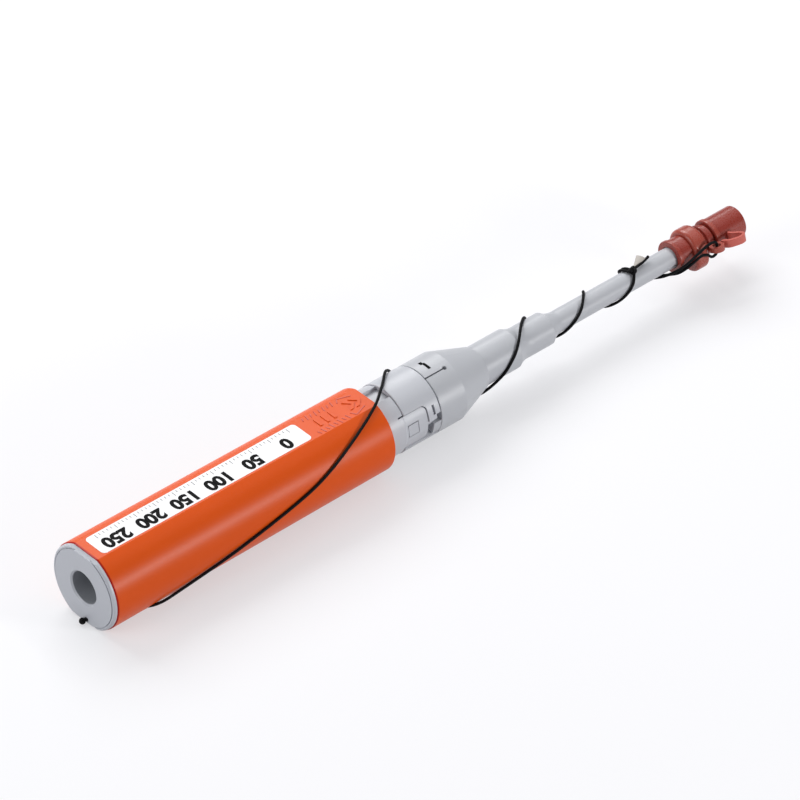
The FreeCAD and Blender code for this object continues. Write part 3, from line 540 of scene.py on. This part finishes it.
def make_knot():
    """Three-lobed knot with the cut tail of the cord."""
    lobes = []
    for step in range(knot_steps):
        turn = 2 * math.pi * step / knot_steps
        across = 1.35 * (math.sin(turn) + 2 * math.sin(2 * turn))
        along = math.cos(turn) - 2 * math.cos(2 * turn)
        lobes.append(Vector((across, along, -1.1 * math.sin(3 * turn))) * knot_size)
    place = Matrix.Translation(on_pen(156.1, 14, 3.3)) @ Matrix.Rotation(math.radians(10), 4, "X")
    guide = spline_route("knot_guide", [place @ point for point in lobes])
    guide.data.splines[0].use_cyclic_u = True
    knot = thickened(guide, cord_diameter, closed=True)
    tail = thickened(spline_route("tail_guide", [on_pen(156.4, 12, 3.4), on_pen(158, 10, 3.5),
                                                 on_pen(160, 4, 3.3), on_pen(161.8, -4, 3.5)]), cord_diameter)
    return joined("lanyard_end_knot", [knot, tail], cord_black, "nose_assembly", smooth=True)


end_knot = make_knot()
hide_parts("lanyard_knot")
print("knot faces:", len(end_knot.data.polygons))

# %% [markdown]
# A pale flattened sleeve flares beside the tail. It is a piece of soft tube squeezed at one end, and a cone
# pressed to a third of its width has that shape without any drawing of outlines.

# %% Sleeve by the knot
sleeve_narrow, sleeve_wide, sleeve_length = 0.35 * mm, 1.1 * mm, 3.2 * mm
sleeve_pressed = 0.35


def make_sleeve():
    """Open cone pressed flat, between two places on the nozzle."""
    form = bmesh.new()
    bmesh.ops.create_cone(form, cap_ends=False, segments=24, radius1=sleeve_narrow, radius2=sleeve_wide,
                          depth=sleeve_length)
    bmesh.ops.subdivide_edges(form, edges=form.edges, cuts=2)
    bmesh.ops.scale(form, vec=(1, sleeve_pressed, 1), verts=form.verts)
    start, end = on_pen(157.2, 6, 3.4), on_pen(160.2, -14, 3.9)
    aim = (end - start).to_track_quat("Z", "Y").to_matrix().to_4x4()
    bmesh.ops.transform(form, matrix=Matrix.Translation((start + end) / 2) @ aim, verts=form.verts)
    return joined("knot_sleeve", [mesh_of(form, "sleeve")], sleeve_beige, "nose_assembly", smooth=True)


sleeve_beige = moulded("pale sleeve plastic", srgb(178, 172, 165), 0.5, drift=0.3)
sleeve = make_sleeve()
print("sleeve faces:", len(sleeve.data.polygons))

# %% [markdown]
# The length is measured along the spline and never typed, so it cannot disagree with the route.

print("cord in all", round((lanyard_length + loop_length) / mm, 1), "mm")

# %% [markdown]
# The label is a white film with black print: a plain counting scale of bold numbers along the film, and a
# row of fine ticks beside them. Print could be an image on the film. As thin meshes just above it, the
# figures keep sharp edges at any distance. Text becomes a mesh first, and its place is applied after.

# %% Places and pieces on the flat
def flat_text(body, size, weight, height):
    """Mesh of a short text of the given height, centred on the origin."""
    font = bpy.data.curves.new("digits", "FONT")
    font.body = body
    font.size = size
    font.offset = weight
    font.extrude = height / 2
    font.align_x = "CENTER"
    font.align_y = "CENTER"
    carrier = new_piece("digits", font)
    mesh = as_mesh(carrier)
    bpy.data.objects.remove(carrier)
    return mesh


def flat_plane(lift):
    """Matrix of the flat that carries the label, at the label's middle and lifted by millimetres."""
    low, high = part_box("label")
    top = [vertex.co for vertex in nodes["label"].data.vertices]
    rear_top = max(co.z for co in top if co.x < low.x + mm)
    front_top = max(co.z for co in top if co.x > high.x - mm)
    slope = math.atan2(front_top - rear_top, high.x - low.x)
    middle = Vector(((low.x + high.x) / 2, 0, (rear_top + front_top) / 2 + lift * mm))
    return Matrix.Translation(middle) @ Matrix.Rotation(-slope, 4, "Y")


def add_bar(form, size, place):
    """Bar of a length, width and height in millimetres, put in place by a matrix."""
    made = bmesh.ops.create_cube(form, size=1.0)["verts"]
    bmesh.ops.scale(form, vec=Vector(size) * mm, verts=made)
    bmesh.ops.transform(form, matrix=place, verts=made)


label_middle = station_of((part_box("label")[0].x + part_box("label")[1].x) / 2)
print("the label's middle is at station", round(label_middle, 2))

# %% [markdown]
# The print reads from the pen's left side, with the numbers growing towards the rear end, so all of it is
# turned half round. The ticks stand close together, so each is one bar of a single mesh.

# %% Print on the label
ink_black = moulded("black label ink", srgb(10, 10, 12), 0.55, level=0.05, drift=0.02, grain_height=0.03)
ink_grey = moulded("grey label ink", srgb(110, 112, 116), 0.5, drift=0.02, grain_height=0.03)
ink_height = 0.008
number_count, number_step, number_pitch, number_row = 6, 50, 9.4, 0.75
tick_count, tick_pitch, tick_row, tick_width = 51, 1.06, -2.75, 0.16
long_tick, short_tick, ticks_per_long = 1.3, 0.7, 5


def make_label_print():
    """Numbers and ticks, each as one piece on the casing."""
    plane = flat_plane(0.006) @ Matrix.Rotation(math.pi, 4, "Z")
    numbers = []
    for count in range(number_count):
        mesh = flat_text(str(number_step * count), 4.6 * mm, 0.22 * mm, ink_height * mm)
        place = Vector(((count - (number_count - 1) / 2) * number_pitch, number_row, 0)) * mm
        mesh.transform(plane @ Matrix.Translation(place))
        numbers.append(mesh)
    ticks = bmesh.new()
    for count in range(tick_count):
        long = short_tick if count % ticks_per_long else long_tick
        place = Vector(((count - (tick_count - 1) / 2) * tick_pitch, tick_row + long / 2, 0)) * mm
        add_bar(ticks, (tick_width, long, ink_height), plane @ Matrix.Translation(place))
    return (joined("label_numbers", numbers, ink_black, "casing"),
            joined("label_ticks", [mesh_of(ticks, "ticks")], ink_grey, "casing"))


label_print = make_label_print()
print("print:", [piece.name for piece in label_print])

# %% [markdown]
# Two rows of low raised marks run along the edges of the flat in front of the label, each with an arrow
# stroke that points forward. They could be a bump in the casing's shader, but raised marks catch the light
# on their edges and cast a shadow, so they are real bars with their edges broken. Their plastic is the
# casing's orange with painted shade, a little deeper, for the shade along their edges.

# %% Raised marks on the flat
mark_count, first_mark, mark_pitch, mark_row = 8, 63.2, 1.15, 2.75
mark_width, mark_height, mark_lean = 0.3, 0.16, 0.4
arrow_start, arrow_corner, arrow_end = (72.6, 2.1), (73.4, 3.35), (76.6, 2.2)


def add_stroke(form, start, end, plane):
    """Low bar between two places on the flat, each a station and a distance to the side in millimetres."""
    first = Vector((start[0] - label_middle, start[1], 0))
    last = Vector((end[0] - label_middle, end[1], 0))
    turn = Matrix.Rotation(math.atan2(last.y - first.y, last.x - first.x), 4, "Z")
    place = plane @ Matrix.Translation((first + last) / 2 * mm) @ turn
    add_bar(form, ((last - first).length, mark_width, mark_height), place)


def make_raised_marks():
    """Both rows of marks and their arrow strokes, as one piece."""
    plane = flat_plane(-0.05)
    form = bmesh.new()
    for side in (1, -1):
        for count in range(mark_count):
            place = first_mark + mark_pitch * count
            reach = 0.75 if count % 2 else 0.5
            add_stroke(form, (place, side * (mark_row - reach)),
                       (place + mark_lean, side * (mark_row + reach)), plane)
        start, corner, end = [(place, side * away) for place, away in (arrow_start, arrow_corner, arrow_end)]
        add_stroke(form, start, corner, plane)
        add_stroke(form, corner, end, plane)
    bmesh.ops.bevel(form, geom=form.edges, offset=0.05 * mm, segments=1, affect="EDGES")
    return joined("flat_marks", [mesh_of(form, "marks")], mark_shaded_orange, "casing")


# painted shade: the casing's orange made deeper, for the shade along the marks' edges
mark_shaded_orange = moulded("orange mark plastic in painted shade", srgb(196, 58, 14), 0.4)
flat_marks = make_raised_marks()
print("raised marks faces:", len(flat_marks.data.polygons))

# %% [markdown]
# A short black index line is pad-printed across the top of the nose's band, with a small foot at one end.
# Each stroke is a strip spun round the pen's axis, so it hugs the band, where a flat piece would dip into it.

# %% Index mark on the band
band_radius = 8.25
ink_lift = 0.012


def band_stroke(form, start, end, first, last):
    """Strip on the band between two stations and two angles."""
    points = [on_pen(station, first, band_radius + ink_lift) for station in (start, end)]
    made = [form.verts.new(point) for point in points]
    edge = form.edges.new(made)
    bmesh.ops.spin(form, geom=made + [edge], cent=on_pen(start, 0, 0), axis=(1, 0, 0),
                   angle=math.radians(last - first), steps=8, use_duplicate=False)


def make_index_mark():
    """Line across the band with its foot."""
    form = bmesh.new()
    band_stroke(form, 95.75, 96.45, -7, 9)
    band_stroke(form, 95.3, 96.15, -12.5, -5)
    bmesh.ops.recalc_face_normals(form, faces=form.faces)
    return joined("index_mark", [mesh_of(form, "index")], ink_black, "nose_assembly")


index_mark = make_index_mark()
print("index mark faces:", len(index_mark.data.polygons))

# %% [markdown]
# The pen lies on a plain pale floor. A white floor lit like the pen turns grey far from the lamps, and a
# glowing one loses the shadow. This one does a little of both: it shows a near-white of its own where it is
# looked at or mirrored, and is darker for the light that it throws back on the pen.

# %% Floor
floor_half = 3.0
own_glow = (0.955, 0.955, 0.975, 1)
glow_share = 0.55
lit_color, seen_color = (0.5, 0.5, 0.52, 1), (0.9, 0.9, 0.92, 1)


def make_floor():
    """Large floor that is brighter for the rays that look at it."""
    form = bmesh.new()
    bmesh.ops.create_grid(form, x_segments=1, y_segments=1, size=floor_half)
    floor = new_piece("floor", mesh_of(form, "floor"))
    material, shader = new_material("pale floor")
    tree = material.node_tree
    shader.inputs["Roughness"].default_value = 0.9
    shader.inputs["Specular IOR Level"].default_value = 0.0
    glow = tree.nodes.new("ShaderNodeEmission")
    glow.inputs["Color"].default_value = own_glow
    rays = tree.nodes.new("ShaderNodeLightPath")
    seen = math_node(tree, "MAXIMUM", rays.outputs["Is Camera Ray"], rays.outputs["Is Glossy Ray"])
    seen = math_node(tree, "MAXIMUM", seen, rays.outputs["Is Transmission Ray"])
    shade = tree.nodes.new("ShaderNodeMix")
    shade.data_type = "RGBA"
    shade.inputs["A"].default_value = lit_color
    shade.inputs["B"].default_value = seen_color
    tree.links.new(seen, shade.inputs["Factor"])
    tree.links.new(shade.outputs["Result"], shader.inputs["Base Color"])
    mix = tree.nodes.new("ShaderNodeMixShader")
    tree.links.new(math_node(tree, "MULTIPLY", seen, glow_share), mix.inputs["Fac"])
    tree.links.new(shader.outputs["BSDF"], mix.inputs[1])
    tree.links.new(glow.outputs["Emission"], mix.inputs[2])
    tree.links.new(mix.outputs["Shader"], tree.nodes["Material Output"].inputs["Surface"])
    floor.data.materials.append(material)
    return floor


floor = make_floor()
print("floor is", round(floor.dimensions.x, 1), "m wide")

# %% [markdown]
# The world adds a faint cool light from all round, so no shadow is quite black.

# %% World
world = bpy.data.worlds.new("studio")
bpy.context.scene.world = world
world.use_nodes = True
background = world.node_tree.nodes["Background"]
background.inputs["Color"].default_value = (0.95, 0.96, 1.0, 1)
background.inputs["Strength"].default_value = 0.25
print("world strength", background.inputs["Strength"].default_value)

# %% [markdown]
# Four area lamps light the pen. A large one behind and above makes the top flat bright, and a narrow one
# overhead draws a streak along the nose. A small one low on the right draws the soft streak along the
# casing's side, and one behind the rear end lights the rear cap. Sunlight would be simpler, but it gives
# hard shadows and no broad reflections, and those are what show a satin surface.

# %% Lamps
def soft_box(name, place, size, power):
    """Rectangular area lamp aimed at the middle of the pen."""
    lamp = bpy.data.lights.new(name, "AREA")
    lamp.shape = "RECTANGLE"
    lamp.size, lamp.size_y = size
    lamp.energy = power
    holder = new_piece(name, lamp)
    holder.location = place
    holder.rotation_mode = "QUATERNION"
    holder.rotation_quaternion = (Vector(place) - pen_middle).to_track_quat("Z", "Y")


pen_middle = (cad_box[0] + cad_box[1]) / 2
soft_box("back box", (0.15, 0.62, 0.62), (0.9, 0.5), 8.0)
soft_box("overhead strip", (0.45, -0.05, 0.75), (0.9, 0.06), 1.1)
soft_box("right strip", (0.27, -0.63, 0.15), (0.14, 0.12), 2.4)
soft_box("rear box", (-0.85, 0.15, 0.40), (0.5, 0.5), 3.0)
print("lamps:", [lamp.name for lamp in bpy.data.lights])

# %% [markdown]
# The camera looks down on the pen from behind its rear end, on the right, through a long lens, so that the
# casing and the thin nozzle keep nearly the same scale.

# %% Camera
camera_azimuth = math.radians(-41.81)
camera_elevation = math.radians(39.02)
camera_distance = 1.6667
camera_aim = Vector((-0.02823, -0.02561, 0.03974))
camera_data = bpy.data.cameras.new("camera")
camera_data.lens = 359.44
camera_data.sensor_width = 36.0
camera_data.clip_start = 0.01
camera_data.clip_end = 100.0
camera = new_piece("camera", camera_data)
back = Vector((math.sin(camera_azimuth) * math.cos(camera_elevation),
               -math.cos(camera_azimuth) * math.cos(camera_elevation), math.sin(camera_elevation)))
camera.location = camera_aim + back * camera_distance
camera.rotation_mode = "QUATERNION"
camera.rotation_quaternion = back.to_track_quat("Z", "Y")
bpy.context.scene.camera = camera
bpy.context.scene.view_settings.view_transform = "Standard"
print("camera at", [round(v, 3) for v in camera.location])
